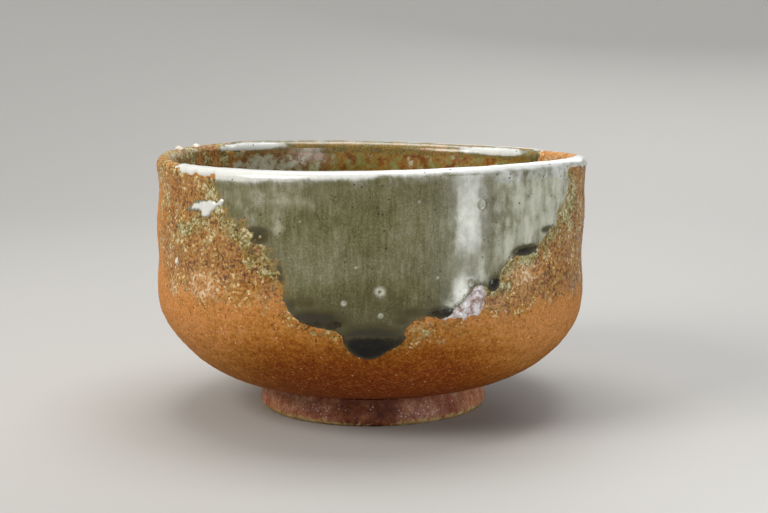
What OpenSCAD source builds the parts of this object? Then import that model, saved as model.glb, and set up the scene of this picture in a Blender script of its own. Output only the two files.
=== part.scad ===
// Matcha bowl: a thrown stoneware bowl on a ring foot, glazed inside, on the lip and down one
// face. Origin: the middle of the foot's resting face. +Z is up and -Y is the glazed face.
// Angles round the bowl are counted from -Y towards +X.

/* [Bowl] */
// Widest diameter of the clay, at the shoulder
bowl_d = 125; // [120:1:132]
// Height from the resting face to the top of the glazed lip
bowl_h = 74; // [70:1:80]
// Thickness of the thrown clay wall
wall_t = 4.4; // [3.6:0.1:5.2]
// Height of the shoulder, where the wall turns in to the belly
shoulder_z = 35; // [33:1:37]
// Radius of the shoulder's curve
shoulder_r = 19.5; // [16:0.5:22]
// Slope of the wall where the belly's wide curve meets the shoulder's tight one
break_slope = 58; // [52:1:64]
// Slope of the belly where it meets the foot
foot_slope = 7; // [4:1:12]

/* [Throwing rings] */
// How far the wall swells between its finger rings
ring_a = 0.25; // [0:0.05:0.6]
// Height of one finger ring
ring_pitch = 20; // [12:1:28]

/* [Foot] */
// Outer diameter of the ring foot
foot_d = 67; // [62:1:70]
// Height of the ring foot
foot_h = 8.5; // [7.5:0.5:10]
// Width of the ring's wall
foot_w = 6.5; // [5:0.5:8]
// Height of the turned recess inside the foot
recess_h = 6.4; // [5.6:0.2:7]
// How much the foot narrows towards the belly, on each side
foot_taper = 0.7; // [0:0.1:1.5]
// Rounding of the foot's outer resting edge
foot_edge = 1.4; // [0.6:0.1:2]

/* [Tea well] */
// Radius of the shallow well in the middle of the floor
well_r = 18; // [12:1:24]
// Depth of the well below the floor
well_depth = 1.5; // [0.8:0.1:2]

/* [Glaze] */
// Thickness of the glaze coat
glaze_t = 0.5; // [0.3:0.1:0.8]
// Thickness of the ash crust
crust_t = 0.35; // [0.2:0.05:0.5]
// Thickness of the glass drops and of the ash curds
drop_t = 1.2; // [0.8:0.1:1.6]
// Thickness of the milky splash
splash_t = 0.8; // [0.6:0.1:1]

/* [Pebbles] */
// Radius of a feldspar pebble
pebble_r = 1.6; // [1:0.1:1.8]
// How deep a pebble's middle lies under the clay's surface
pebble_sink = 0.4; // [0.2:0.1:0.6]

/* [Hidden] */
$fn = 96;

// Belly and shoulder are two arcs that share a tangent at the break, so an even wall is the
// same two arcs with smaller radii.
bowl_r = bowl_d / 2;
shoulder_c = [bowl_r - shoulder_r, shoulder_z];
break_pt = shoulder_c + shoulder_r * [sin(break_slope), -cos(break_slope)];
belly_r = (break_pt[1] - foot_h) / (cos(foot_slope) - cos(break_slope));
belly_c = break_pt - belly_r * [sin(break_slope), -cos(break_slope)];
floor_z = belly_c[1] - belly_r + wall_t;

// The lip is a half round on the wall's end, with the rim glaze wrapped over it down to rim_edge
// below the half round's centre. The lip stays bare between two angles on the left.
lip_r = wall_t / 2;
lip_z = bowl_h - lip_r - glaze_t;
lip_c = [wall_r(lip_z) - lip_r, lip_z];
rim_edge = 0.8;
rim_bare = [-128, -52];

// The foot's ring sits round a boss under the floor, and a low nub is left in the recess.
boss_r = foot_d / 2 - foot_w;
foot_inner_edge = 1;
nub_h = 0.8;
nub_r = 7;

// Steps between points up the wall, along an arc of the side and round an edge in degrees
wall_step = 2.5;
arc_steps = 12;
edge_turn = 15;

// Deeper and higher than the bowl, for outlines that cut through its whole front
reach = 80;

// Outlines on the glazed face: [angle round the bowl, height], clockwise from the top left.
apron_knots = [
    [-44, 80], [-40, 66], [-30, 56], [-22, 47], [-20, 38], [-9, 34.5], [-5, 29.5], [5, 29.5],
    [9, 35.5], [18, 37], [27, 42], [33, 44], [36, 50], [44, 51], [55, 57], [62, 66], [64, 80]
];
crust_left_knots = [
    [-40, 80], [-64, 80], [-68, 60], [-62, 44], [-50, 38], [-30, 36], [-16, 35], [-8, 45],
    [-28, 64]
];
crust_right_knots = [
    [60, 80], [70, 80], [72, 60], [68, 40], [50, 34], [33, 33], [14, 33.5], [10, 44], [40, 62]
];

// Round patches in the coat: [angle round the bowl, height, radius]
centre_drop = [[-2.5, 30, 3.2], [0, 29, 3.8], [3, 30.2, 3]];
left_drop = [[-14.5, 36, 2.4], [-11, 35, 2.8]];
right_drops = [[16.5, 37, 2.2], [32, 43.6, 2], [40, 50.8, 2.2], [42.5, 51.6, 2.2]];
splash = [[-47, 62.3, 1.8], [-43.5, 62, 2], [-40.5, 63.6, 1.4]];
curds = [[22.5, 38, 2], [25, 38.6, 2.6], [26, 40.6, 1.8]];

lip_pebble_angles = [-104, -115];
wall_pebble = [-58, 47];

// Outer radius of the clay wall above the shoulder
function wall_r(z) = bowl_r - ring_a * (1 - cos(360 * (z - shoulder_z) / ring_pitch));

// Points along an arc given by its centre, radius and first and last slope
function slope_arc(c, r, s0, s1, n = arc_steps) =
    [for (i = [0:n]) let (s = s0 + (s1 - s0) * i / n) c + r * [sin(s), -cos(s)]];

// The wall's line from the foot to height z1, moved outwards by d
function side_line(d, s0, z1) = concat(
    slope_arc(belly_c, belly_r + d, s0, break_slope),
    [for (p = slope_arc(shoulder_c, shoulder_r + d, break_slope, 90)) if (p[0] > break_pt[0] + d) p],
    [for (z = [shoulder_z + wall_step:wall_step:z1 - 1]) [wall_r(z) + d, z]],
    [[wall_r(z1) + d, z1]]
);

function reverse(p) = [for (i = [len(p) - 1:-1:0]) p[i]];

// The tea well's dished bottom, from the axis out to the floor
well_line = [
    for (i = [0:arc_steps])
    let (x = well_r * i / arc_steps)
    [x, floor_z - well_depth * (1 - pow(x / well_r, 2))]
];

// Corner cutting: each pass rounds a closed outline
function rounded(p, passes) = passes == 0 ? p : rounded([
    for (i = [0:len(p) - 1])
    let (a = p[i], b = p[(i + 1) % len(p)])
    each [0.75 * a + 0.25 * b, 0.25 * a + 0.75 * b]
], passes - 1);

// A [angle, height] outline seen straight from the front
function seen_from_front(knots) = [for (k = knots) [bowl_r * sin(k[0]), k[1]]];

module outline(knots) {
    polygon(rounded(seen_from_front(knots), 2));
}

// Everything in front of the bowl's axis, behind a flat outline
module in_front() {
    rotate([90, 0, 0])
        linear_extrude(height = reach)
            children();
}

// A coat of thickness t on the outer wall, below the rim glaze
module outer_coat(t) {
    top = lip_z - rim_edge;
    rotate_extrude()
        polygon(concat(side_line(0, foot_slope, top), reverse(side_line(t, foot_slope, top))));
}

// Round patches on the glazed face, each [angle, height, radius]
module patches(list) {
    for (p = list)
        translate([bowl_r * sin(p[0]), p[1]])
            circle(r = p[2]);
}

// All that lies in the coat as a patch of its own, which the glaze and the crust leave room for
module all_patches() {
    patches(centre_drop);
    patches(left_drop);
    patches(right_drops);
    patches(splash);
    patches(curds);
}

// Stands its children on the lip at each lip pebble, with z = 0 at the foot of its socket
module at_lip_pebbles() {
    for (a = lip_pebble_angles)
        rotate([0, 0, a])
            translate([0, -lip_c[0], lip_z + lip_r - pebble_sink - pebble_r])
                children();
}

// The round pebble in the wall, about half of it outside
module wall_pebble_ball() {
    rotate([0, 0, wall_pebble[0]])
        translate([0, -wall_r(wall_pebble[1]) + pebble_sink, wall_pebble[1]])
            sphere(r = pebble_r);
}

module thrown_body() {
    color("#b5703c")
        difference() {
            rotate_extrude()
                polygon(concat(
                    [[0, recess_h - nub_h], [nub_r, recess_h], [boss_r, recess_h], [boss_r, foot_h]],
                    side_line(0, foot_slope, lip_z),
                    [for (a = [edge_turn:edge_turn:180 - edge_turn]) lip_c + lip_r * [cos(a), sin(a)]],
                    reverse(side_line(-wall_t, 0, lip_z)),
                    reverse(well_line)
                ));
            at_lip_pebbles() cylinder(r = pebble_r, h = 2 * pebble_r);
            wall_pebble_ball();
        }
}

module foot_ring() {
    outer_r = foot_d / 2;
    color("#a06a5c")
        rotate_extrude()
            polygon(concat(
                [[boss_r, foot_h]],
                [for (a = [180:edge_turn:270])
                    [boss_r + foot_inner_edge, foot_inner_edge] + foot_inner_edge * [cos(a), sin(a)]],
                [for (a = [270:edge_turn:360])
                    [outer_r - foot_edge, foot_edge] + foot_edge * [cos(a), sin(a)]],
                [[outer_r - foot_taper, foot_h]]
            ));
}

module outer_glaze() {
    color("#77755a")
        intersection() {
            outer_coat(glaze_t);
            in_front() difference() {
                outline(apron_knots);
                all_patches();
            }
        }
}

module rim_glaze() {
    over = [for (a = [0:edge_turn:180]) lip_c + (lip_r + glaze_t) * [cos(a), sin(a)]];
    under = [for (a = [180:-edge_turn:0]) lip_c + lip_r * [cos(a), sin(a)]];
    low = lip_z - rim_edge;
    color("#cfd0cc")
        difference() {
            rotate_extrude()
                polygon(concat(
                    [[wall_r(low) + glaze_t, low]],
                    over,
                    [[wall_r(low) - wall_t - glaze_t, low], [wall_r(low) - wall_t, low]],
                    under,
                    [[wall_r(low), low]]
                ));
            translate([0, 0, low - 1])
                linear_extrude(height = bowl_h)
                    polygon([
                        [0, 0],
                        for (a = [rim_bare[0], (rim_bare[0] + rim_bare[1]) / 2, rim_bare[1]])
                            bowl_d * [sin(a), -cos(a)]
                    ]);
        }
}

module inner_glaze() {
    top = lip_z - rim_edge;
    color("#8a7f4c")
        rotate_extrude()
            polygon(concat(
                [[well_r, floor_z]],
                side_line(-wall_t, 0, top),
                reverse(side_line(-wall_t - glaze_t, 0, top)),
                [[well_r, floor_z + glaze_t]]
            ));
}

module floor_glass_pool() {
    color("#3c4a2c")
        rotate_extrude()
            polygon(concat(well_line, [[well_r, floor_z + glaze_t], [0, floor_z + glaze_t]]));
}

// A thick coat of glass or ash over its own patches only
module patch_coat(list, t) {
    intersection() {
        outer_coat(t);
        in_front() patches(list);
    }
}

// The thin crust of ash over an outline, where neither the apron nor a patch lies
module crust(knots) {
    difference() {
        intersection() {
            outer_coat(crust_t);
            in_front() difference() {
                outline(knots);
                outline(apron_knots);
                all_patches();
            }
        }
        wall_pebble_ball();
    }
}

module centre_glass_drop() {
    color("#1d2212") patch_coat(centre_drop, drop_t);
}

module left_glass_drop() {
    color("#26240f") patch_coat(left_drop, drop_t);
}

module right_glass_drops() {
    color("#34361a") patch_coat(right_drops, drop_t);
}

module ash_crust_left() {
    color("#a9742f") crust(crust_left_knots);
}

module ash_crust_right() {
    color("#a8803f") crust(crust_right_knots);
}

module milky_splash() {
    color("#dfe0dc") patch_coat(splash, splash_t);
}

module white_ash_curds() {
    color("#d9c3b4") patch_coat(curds, drop_t);
}

module feldspar_stones() {
    color("#ded6c6") {
        at_lip_pebbles() {
            cylinder(r = pebble_r, h = pebble_r);
            translate([0, 0, pebble_r])
                sphere(r = pebble_r);
        }
        wall_pebble_ball();
    }
}

thrown_body();
foot_ring();
outer_glaze();
rim_glaze();
inner_glaze();
floor_glass_pool();
centre_glass_drop();
left_glass_drop();
right_glass_drops();
ash_crust_left();
ash_crust_right();
milky_splash();
white_ash_curds();
feldspar_stones();
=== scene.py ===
import math

import bmesh
import bpy
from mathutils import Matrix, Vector, noise


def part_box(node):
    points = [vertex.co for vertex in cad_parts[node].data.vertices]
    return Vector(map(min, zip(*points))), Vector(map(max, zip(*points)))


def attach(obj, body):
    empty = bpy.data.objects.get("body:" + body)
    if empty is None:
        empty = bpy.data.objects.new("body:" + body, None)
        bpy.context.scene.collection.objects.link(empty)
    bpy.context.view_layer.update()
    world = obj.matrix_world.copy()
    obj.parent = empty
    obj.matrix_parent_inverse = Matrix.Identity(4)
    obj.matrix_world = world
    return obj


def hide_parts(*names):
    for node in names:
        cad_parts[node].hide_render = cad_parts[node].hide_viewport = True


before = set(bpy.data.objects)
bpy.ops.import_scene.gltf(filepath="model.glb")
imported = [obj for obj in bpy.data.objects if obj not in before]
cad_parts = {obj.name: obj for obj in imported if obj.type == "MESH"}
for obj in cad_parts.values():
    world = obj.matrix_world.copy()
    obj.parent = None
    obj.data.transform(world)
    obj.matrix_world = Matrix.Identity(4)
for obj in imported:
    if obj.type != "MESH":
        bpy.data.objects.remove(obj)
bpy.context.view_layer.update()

# ---- The studio -----------------------------------------------------------------------------
# A pale seamless table top that curves up all round, a camera a little above the lip, and soft
# boxes: a broad one high on the left, one overhead, a narrow upright one low on the right, and
# two that light the bowl's back and the wall behind it.

scene = bpy.context.scene
scene.view_settings.view_transform = "Standard"

lens = bpy.data.cameras.new("camera")
lens.lens = 69.94
lens.sensor_width = 36
lens.clip_start = 0.01
camera = bpy.data.objects.new("camera", lens)
camera.location = (0.0038, -0.4381, 0.1062)
camera.rotation_euler = (math.radians(81.83), math.radians(0.3), 0)
scene.collection.objects.link(camera)
scene.camera = camera

world = bpy.data.worlds.new("studio_air")
world.use_nodes = True
world.node_tree.nodes["Background"].inputs["Color"].default_value = (0.88, 0.93, 1.0, 1)
world.node_tree.nodes["Background"].inputs["Strength"].default_value = 0.42
scene.world = world


def soft_box(name, place, aim, size, watts, colour=(1, 1, 1)):
    box = bpy.data.lights.new(name, "AREA")
    box.shape = "RECTANGLE"
    box.size, box.size_y = size
    box.energy = watts
    box.color = colour
    lamp = bpy.data.objects.new(name, box)
    lamp.location = place
    away = Vector(place) - Vector(aim)
    lamp.rotation_euler = away.to_track_quat("Z", "Y").to_euler()
    lamp.visible_camera = False
    scene.collection.objects.link(lamp)


soft_box("left_box", (-0.50, -0.34, 0.46), (0, 0, 0.045), (0.34, 0.34), 4.3, (1.0, 0.96, 0.90))
soft_box("top_box", (0.02, 0.10, 0.62), (0, 0, 0.05), (0.50, 0.30), 2.6)
soft_box("right_strip", (0.178, -0.176, 0.070), (0.026, -0.056, 0.060), (0.056, 0.150), 0.20,
         (0.93, 0.96, 1.0))
soft_box("back_box", (0.25, 0.70, 0.40), (0, 0, 0.04), (0.5, 0.4), 1.2)
soft_box("wall_box", (0, 0.30, 0.85), (0, 1.25, 0.35), (1.2, 0.3), 5.0)


def smooth_object(name, mesh):
    """A smooth shaded object in the scene, made from the mesh, which is used up."""
    data = bpy.data.meshes.new(name)
    mesh.to_mesh(data)
    mesh.free()
    data.polygons.foreach_set("use_smooth", [True] * len(data.polygons))
    made = bpy.data.objects.new(name, data)
    scene.collection.objects.link(made)
    return made


def swept(points, begin, span, steps, close=False):
    """A wire through points of radius, height and distance along it, swept about the axis from
    one angle over another. Each vertex keeps its distance as a layer."""
    mesh = bmesh.new()
    along = mesh.verts.layers.float.new("along")
    wire = []
    for r, z, distance in points:
        corner = mesh.verts.new((r * math.sin(begin), -r * math.cos(begin), z))
        corner[along] = distance
        wire.append(corner)
    for a, b in zip(wire, wire[1:] + wire[:1] if close else wire[1:]):
        mesh.edges.new((a, b))
    whole = span == math.tau
    bmesh.ops.spin(mesh, geom=mesh.verts[:] + mesh.edges[:], axis=(0, 0, 1), angle=span, steps=steps,
                   use_merge=whole)
    if whole:
        bmesh.ops.remove_doubles(mesh, verts=mesh.verts, dist=1e-5)
    return mesh, along


def pale_table():
    """A flat round floor that sweeps up into a wall on every side."""
    flat, sweep, high = 0.50, 0.80, 1.6
    curve_steps, round_steps = 24, 64
    points = [(0, 0, 0), (0.3, 0, 0), (flat, 0, 0)]
    for i in range(1, curve_steps + 1):
        turn = math.radians(90 * i / curve_steps)
        points.append((flat + sweep * math.sin(turn), sweep * (1 - math.cos(turn)), 0))
    points.append((flat + sweep, high, 0))
    mesh, _ = swept(points, math.radians(90), math.tau, round_steps)
    bmesh.ops.recalc_face_normals(mesh, faces=mesh.faces)
    bmesh.ops.reverse_faces(mesh, faces=mesh.faces)
    table = smooth_object("table", mesh)
    paint = bpy.data.materials.new("pale_table")
    paint.use_nodes = True
    shader = paint.node_tree.nodes["Principled BSDF"]
    shader.inputs["Base Color"].default_value = (0.44, 0.43, 0.41, 1)
    shader.inputs["Roughness"].default_value = 0.7
    table.data.materials.append(paint)


pale_table()


# ---- The thrown body ------------------------------------------------------------------------
# One wall of coarse, gritty stoneware thrown on a wheel: finger rings up the straight side,
# trimming lines on the belly, a round lip that waves a little, and a flat floor with a tea well.

MM = 0.001


def size_of(node):
    low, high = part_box(node)
    return [(high[i] - low[i]) / MM for i in range(3)]


def top_of(node):
    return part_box(node)[1][2] / MM


bowl_r = size_of("thrown_body")[0] / 2
bowl_h = top_of("rim_glaze")
foot_r = size_of("foot_ring")[0] / 2
foot_h = top_of("foot_ring")
glaze_t = 0.5
wall_t = 4.4
lip_r = wall_t / 2
lip_z = bowl_h - lip_r - glaze_t
shoulder_z = 35
shoulder_r = 19.5
foot_w = 6.5
recess_h = 6.4
nub_r = 7
nub_h = 0.8
well_r = 18
well_depth = 1.5
ring_depth = 0.25
ring_pitch = 20


class Line:
    """A line in the half plane of radius and height, made of straight runs and arcs. It gives
    the point and the outward direction at any distance along itself."""

    def __init__(self):
        self.parts = []
        self.length = 0

    def add(self, reach, at):
        self.parts.append((self.length, reach, at))
        self.length += reach
        return self

    def run(self, start, end):
        """A straight run, with the outside on its right."""
        reach = math.dist(start, end)
        across = ((end[1] - start[1]) / reach, (start[0] - end[0]) / reach)

        def at(t):
            return (start[0] + (end[0] - start[0]) * t, start[1] + (end[1] - start[1]) * t, *across)

        return self.add(reach, at)

    def arc(self, centre, radius, first, last, side=1):
        """An arc between two slopes in degrees; side is -1 where the outside is the hollow."""
        reach = radius * math.radians(abs(last - first))

        def at(t):
            slope = math.radians(first + (last - first) * t)
            across = (math.sin(slope), -math.cos(slope))
            return (
                centre[0] + radius * across[0], centre[1] + radius * across[1],
                across[0] * side, across[1] * side,
            )

        return self.add(reach, at)

    def at(self, along):
        for start, reach, at in reversed(self.parts):
            if along >= start:
                return at(min(1, (along - start) / reach))
        return self.parts[0][2](0)


# The belly and the shoulder share a tangent at this slope, and an even wall is the same two
# arcs with smaller radii.
break_slope = 58
foot_slope = 7
turn = math.radians(break_slope)
shoulder_c = (bowl_r - shoulder_r, shoulder_z)
break_r = shoulder_c[0] + shoulder_r * math.sin(turn)
break_z = shoulder_c[1] - shoulder_r * math.cos(turn)
belly_r = (break_z - foot_h) / (math.cos(math.radians(foot_slope)) - math.cos(turn))
belly_c = (break_r - belly_r * math.sin(turn), break_z + belly_r * math.cos(turn))
floor_z = belly_c[1] - belly_r + wall_t
joint_r = belly_c[0] + belly_r * math.sin(math.radians(foot_slope))
boss_r = foot_r - foot_w


def outer_side(line):
    """From the foot's joint up to the start of the lip's half round."""
    line.arc(belly_c, belly_r, foot_slope, break_slope)
    line.arc(shoulder_c, shoulder_r, break_slope, 90)
    line.run((bowl_r, shoulder_z), (bowl_r, lip_z))
    return line


def inner_side(line):
    """From the lip down the inside, over the flat of the floor and into the tea well."""
    line.run((bowl_r - wall_t, lip_z), (bowl_r - wall_t, shoulder_z))
    line.arc(shoulder_c, shoulder_r - wall_t, 90, break_slope, -1)
    line.arc(belly_c, belly_r - wall_t, break_slope, 0, -1)
    line.run((belly_c[0], floor_z), (well_r, floor_z))
    line.run((well_r, floor_z), (0, floor_z - well_depth))
    return line


def step(low, high, value):
    """0 below low, 1 above high, and smooth between."""
    t = min(1, max(0, (value - low) / (high - low)))
    return t * t * (3 - 2 * t)


def grain(x, y, z, size):
    """Smooth unevenness between -1 and 1, with lumps of about that size in millimetres."""
    return noise.noise(Vector((x / size, y / size, z / size)))


def lip_wave(turn):
    """How far the lip stands above its mean height, at an angle from the front."""
    return (0.55 * math.sin(-turn) + 0.19 * math.cos(turn)
            + 0.67 * math.sin(2 * turn) - 0.19 * math.cos(2 * turn))


def thrown(r, z, nr, nz, turn, lift):
    """The place on the bowl that belongs to a point of its line, turned about the axis and
    lifted off the surface. The whole wall shares the finger rings, the lip's wave and the
    slight lean that the wheel and the hand gave it."""
    r += nr * lift
    z += nz * lift
    high = step(30, 46, z)
    ring = -ring_depth * (1 - math.cos(math.tau * (z - shoulder_z) / ring_pitch)) * high
    wobble = 0.30 * noise.noise(Vector((math.cos(turn) * 1.3, math.sin(turn) * 1.3, z / 30)))
    spiral = 0.05 * noise.noise(Vector((math.cos(turn), math.sin(turn), (z + turn) / 3.4))) * high
    r += (ring + wobble + spiral) * step(6, 30, r)
    z += lip_wave(turn) * step(40, lip_z, z)
    lean = -0.5 * step(20, 34, z) * (1 - step(50, 66, z))
    return Vector((r * math.sin(turn) + lean, -r * math.cos(turn), z)) * MM


def points_on(line, first, last, count, close=False):
    """Evenly spaced points of the line between two distances along it, for sweeping."""
    spaced = [first + (last - first) * i / count for i in range(count + (0 if close else 1))]
    return [(*line.at(distance)[:2], distance) for distance in spaced]


def halved(mesh):
    """Splits every face in four. A sweep at half the steps and this split is faster than one
    sweep at all of them."""
    bmesh.ops.subdivide_edges(mesh, edges=mesh.edges[:], cuts=1, use_grid_fill=True)


def spun(line, spacing, steps, close=False):
    """The line spun all round, with corners about that far apart and so many steps round."""
    count = max(2, round(line.length / spacing / 2))
    points = points_on(line, 0, line.length, count, close)
    mesh, along = swept(points, 0, math.tau, round(steps / 2), close)
    halved(mesh)
    return mesh, along


def angle_of(corner):
    return math.atan2(corner.co.x, -corner.co.y)


def finished(name, mesh, finish, slot, *nodes):
    """The mesh as a smooth piece of the bowl, in place of its CAD nodes."""
    bmesh.ops.recalc_face_normals(mesh, faces=mesh.faces)
    piece = smooth_object(name, mesh)
    piece.data.materials.append(finish)
    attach(piece, "root")
    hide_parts(*nodes)
    return piece


def layers_of(mesh, *names):
    """New layers of one number per vertex, which materials read by name."""
    return [mesh.verts.layers.float.new(name) for name in names]


class Finish:
    """A fired surface: its patterns are laid in millimetres on the piece's own coordinates."""

    def __init__(self, name, **settings):
        self.material = bpy.data.materials.new(name)
        self.material.use_nodes = True
        self.tree = self.material.node_tree
        self.shader = self.tree.nodes["Principled BSDF"]
        self.place = self.lay("TexCoord").outputs["Object"]
        self.place = self.stretched((1, 1, 1))
        for socket, value in settings.items():
            title = socket.replace("_", " ").title().replace("Ior", "IOR")
            self.shader.inputs[title].default_value = value

    def lay(self, kind, inputs=(), **settings):
        node = self.tree.nodes.new("ShaderNode" + kind)
        for name, value in settings.items():
            setattr(node, name, value)
        for key, value in dict(inputs).items():
            if isinstance(value, bpy.types.NodeSocket):
                self.tree.links.new(value, node.inputs[key])
            else:
                node.inputs[key].default_value = value
        return node

    def stretched(self, factors):
        scale = [f / MM if self.place.node.type == "TEX_COORD" else f for f in factors]
        return self.lay("Mapping", {"Vector": self.place, "Scale": scale}).outputs["Vector"]

    def clouds(self, size, detail=2.0, rough=0.5, stretch=None, bend=0.0):
        where = self.stretched(stretch) if stretch else self.place
        return self.lay("TexNoise", {"Vector": where, "Scale": 1 / size, "Detail": detail,
                                     "Roughness": rough, "Distortion": bend}).outputs["Fac"]

    def cells(self, size, feature="F1", stretch=None, ragged=0.0):
        """Separate cells; ragged pushes their outlines about by that many millimetres."""
        where = self.stretched(stretch) if stretch else self.place
        if ragged:
            push = self.lay("TexNoise", {"Vector": where, "Scale": 0.9 / size}).outputs["Color"]
            push = self.lay("VectorMath", {0: push, 1: (0.5, 0.5, 0.5)}, operation="SUBTRACT")
            push = self.lay("VectorMath", {0: push.outputs[0], "Scale": ragged}, operation="SCALE")
            where = self.lay("VectorMath", {0: where, 1: push.outputs[0]}, operation="ADD").outputs[0]
        return self.lay("TexVoronoi", {"Vector": where, "Scale": 1 / size}, feature=feature)

    def layer(self, name):
        return self.lay("Attribute", attribute_name=name).outputs["Fac"]

    def sum(self, operation, a, b, c=0.0):
        return self.lay("Math", {0: a, 1: b, 2: c}, operation=operation).outputs[0]

    def ramp(self, value, low, high, to_low=0.0, to_high=1.0):
        node = self.lay("MapRange", {"Value": value, "From Min": low, "From Max": high,
                                     "To Min": to_low, "To Max": to_high})
        node.interpolation_type = "SMOOTHSTEP"
        return node.outputs[0]

    def colours(self, value, *stops):
        node = self.lay("ValToRGB", {"Fac": value})
        ramp = node.color_ramp
        while len(ramp.elements) < len(stops):
            ramp.elements.new(0.5)
        for element, (place, colour) in zip(ramp.elements, stops):
            element.position = place
            element.color = hue(colour)
        return node.outputs["Color"]

    def mix(self, share, a, b, blend="MIX"):
        a = hue(a) if isinstance(a, str) else a
        b = hue(b) if isinstance(b, str) else b
        return self.lay("Mix", {0: share, 6: a, 7: b}, data_type="RGBA",
                        blend_type=blend).outputs[2]

    def stain(self, base, colour, value, low=0.0, high=1.0, share=1.0):
        """The base with a colour over it where the value lies above low, most above high."""
        return self.mix(self.ramp(value, low, high, 0, share), base, colour)

    def loosened(self, value, pattern, by, low=0.3, high=0.7):
        """The value, raised and lowered by up to that much after a pattern."""
        return self.sum("ADD", value, self.ramp(pattern, low, high, -by, by))

    def channel(self, cells, index):
        """One colour channel of separate cells: a different number from 0 to 1 for each."""
        return self.lay("SeparateColor", {"Color": cells.outputs["Color"]}).outputs[index]

    def specks(self, size, small, big, ragged):
        """Round specks scattered one to a cell: their marks, and a number to choose some by."""
        cells = self.cells(size, ragged=ragged)
        return self.ramp(cells.outputs["Distance"], small, big, 1, 0), self.channel(cells, 1)

    def bump(self, height, depth, under=None):
        """Relief from a pattern: depth is its height in millimetres."""
        node = self.lay("Bump", {"Height": height, "Distance": depth * MM, "Strength": 1.0})
        if under:
            self.tree.links.new(under, node.inputs["Normal"])
        return node.outputs["Normal"]

    def finish(self, **sockets):
        for name, value in sockets.items():
            self.tree.links.new(value, self.shader.inputs[name.replace("_", " ").title()])
        return self.material


def hue(code):
    """A colour written as six hex digits, as the shader wants it."""
    parts = [int(code[i:i + 2], 16) / 255 for i in (0, 2, 4)]
    return [p / 12.92 if p <= 0.04045 else ((p + 0.055) / 1.055) ** 2.4 for p in parts] + [1]


class Patch:
    """An outline drawn on the unrolled wall, as [angle in degrees, height] knots. It says how
    many millimetres inside the outline a spot lies, and less than nothing outside it."""

    def __init__(self, *knots, pitch=1.0):
        corners = [(math.radians(a) * bowl_r, z) for a, z in knots]
        for _ in range(2):
            cut = []
            for p, q in zip(corners, corners[1:] + corners[:1]):
                cut += [(0.75 * p[0] + 0.25 * q[0], 0.75 * p[1] + 0.25 * q[1]),
                        (0.25 * p[0] + 0.75 * q[0], 0.25 * p[1] + 0.75 * q[1])]
            corners = cut
        self.edges = list(zip(corners, corners[1:] + corners[:1]))
        self.pitch = pitch
        self.seen = {}

    def measure(self, u, z):
        nearest, inside = 1e9, False
        for (ax, az), (bx, bz) in self.edges:
            dx, dz = bx - ax, bz - az
            t = min(1, max(0, ((u - ax) * dx + (z - az) * dz) / (dx * dx + dz * dz)))
            nearest = min(nearest, (u - ax - t * dx) ** 2 + (z - az - t * dz) ** 2)
            if (az > z) != (bz > z) and u < ax + (z - az) / dz * dx:
                inside = not inside
        return math.sqrt(nearest) * (1 if inside else -1)

    def depth(self, turn, z):
        u = turn * bowl_r / self.pitch
        v = z / self.pitch
        iu, iv = math.floor(u), math.floor(v)
        fu, fv = u - iu, v - iv
        total = 0
        for du, dv, share in ((0, 0, (1 - fu) * (1 - fv)), (1, 0, fu * (1 - fv)),
                              (0, 1, (1 - fu) * fv), (1, 1, fu * fv)):
            spot = (iu + du, iv + dv)
            if spot not in self.seen:
                self.seen[spot] = self.measure(spot[0] * self.pitch, spot[1] * self.pitch)
            total += self.seen[spot] * share
        return total


def spot(turn, z, angle, height, wide, tall):
    """A soft round mark: 1 in its middle and near 0 beyond its half width and half height."""
    across = (math.degrees(turn) - angle) / wide
    up = (z - height) / tall
    return math.exp(-1.2 * (across * across + up * up))


def marked(turn, z, marks):
    """The strongest of several soft marks, from 0 to 1. Each is a strength, an angle, a height,
    a half width in degrees and a half height."""
    return min(1, max(strength * spot(turn, z, *place) for strength, *place in marks))


# Where the front glaze lies: it ran down from the lip in a wide tongue with a lobe on each side.
apron = Patch(
    [-41, 82], [-40, 66], [-37, 61], [-30, 55.5], [-24, 50.5], [-21, 44], [-20, 38.5],
    [-16, 34.5], [-8.5, 33.5], [-5.5, 31], [-4, 26.5], [1, 25], [7.5, 30], [9, 34.5], [13, 36.5],
    [18, 36], [22, 38.5], [27, 44], [33, 42], [34, 48], [38, 50.5], [44, 50.5], [50, 55],
    [56, 58], [60, 64], [61, 70], [62, 82],
)
apron_reach = 1.4  # the angle, in radians either way, within which all of the apron lies


def clay_relief(x, y, z, turn, rough):
    """Grit and small lumps of the clay's skin, with trimming lines round the belly."""
    lumps = 0.10 * grain(x, y, z, 7) + 0.06 * grain(x, y, z, 2.6)
    grit = 0.07 * grain(x, y, z, 1.3)
    lines = grain(math.cos(turn) * 9, math.sin(turn) * 9, z * 3.4, 4)
    trimmed = 0.09 * lines * (1 - step(27, 34, z))
    return (lumps + grit + trimmed) * rough


def ash_fall(turn, z):
    """How much ash landed on a spot of the outside: most beside the front glaze and under the
    lip, less round the back, and hardly any below the shoulder."""
    degrees = math.degrees(turn)
    u = turn * bowl_r
    left = step(-86, -58, degrees) * (1 - step(-26, -8, degrees))
    drift = 3.5 * grain(u, 2, z, 9) + 2 * grain(u, 2, z, 3)
    right = step(12, 30, degrees) * (1 - step(78, 122, degrees - 4 * drift))
    beside = max(left * step(33, 44, z + drift), right * step(31, 40, z + drift))
    lip = 0.75 * step(60, 71, z + drift)
    back = 0.5 * step(100, 140, abs(degrees)) * step(34, 62, z + drift)
    under = 0
    if abs(degrees) < 80:
        reach = 6 + 4 * step(2, 14, degrees)
        under = 0.8 * step(-reach, -1, apron.depth(turn, z)) * step(23, 29, z)
    return max(beside, lip, back, under)


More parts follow.
